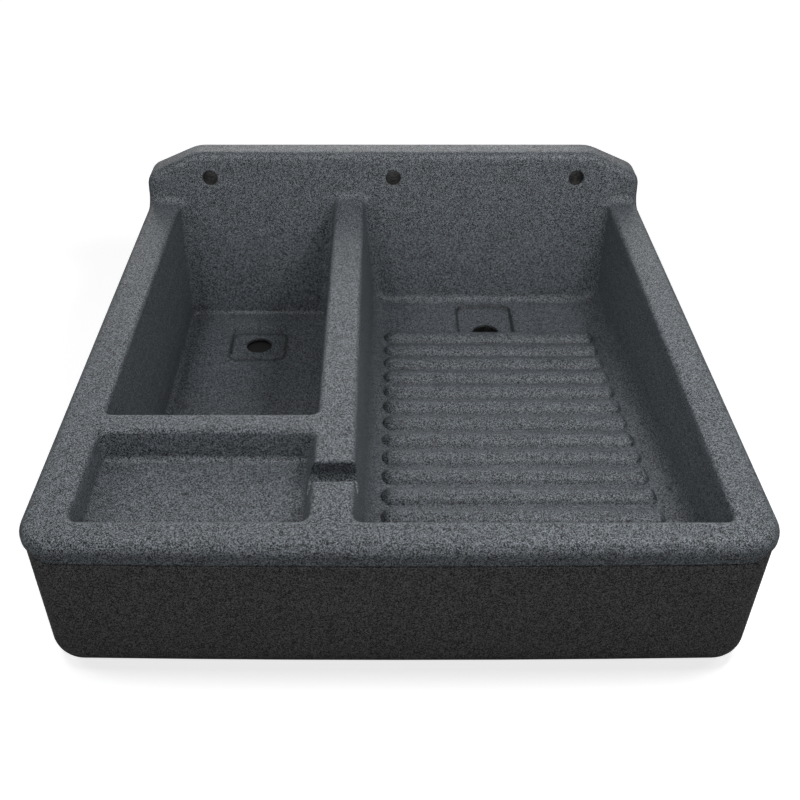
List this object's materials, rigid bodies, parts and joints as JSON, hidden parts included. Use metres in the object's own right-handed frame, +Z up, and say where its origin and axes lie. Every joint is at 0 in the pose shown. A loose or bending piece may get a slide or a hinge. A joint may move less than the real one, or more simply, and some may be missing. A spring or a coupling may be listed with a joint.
{
  "type": "laundry sink",
  "caption": "Dark grey moulded laundry sink with a deep tank, a soap tray, a ribbed washboard basin and a low splashback with tap holes.",
  "frame": {"origin": "middle of the footprint, on the surface that the sink stands on", "axes": "+X to the right seen from the front, +Y towards the wall behind, +Z up"},
  "size_m": [0.8, 0.84, 0.28],
  "materials": {
    "speckled_plastic": "satin dark grey plastic with a fine light and dark granite speckle",
    "casing_plastic": "the same speckled dark grey plastic, a little duller",
    "sleeve_plastic": "plain dark grey plastic"
  },
  "bodies": {
    "root": {"basin_shell": "speckled_plastic", "outer_casing": "casing_plastic", "tank_drain_sleeve": "sleeve_plastic", "wash_drain_sleeve": "sleeve_plastic", "tap_sleeve_left": "sleeve_plastic", "tap_sleeve_middle": "sleeve_plastic", "tap_sleeve_right": "sleeve_plastic"}
  },
  "joints": []
}
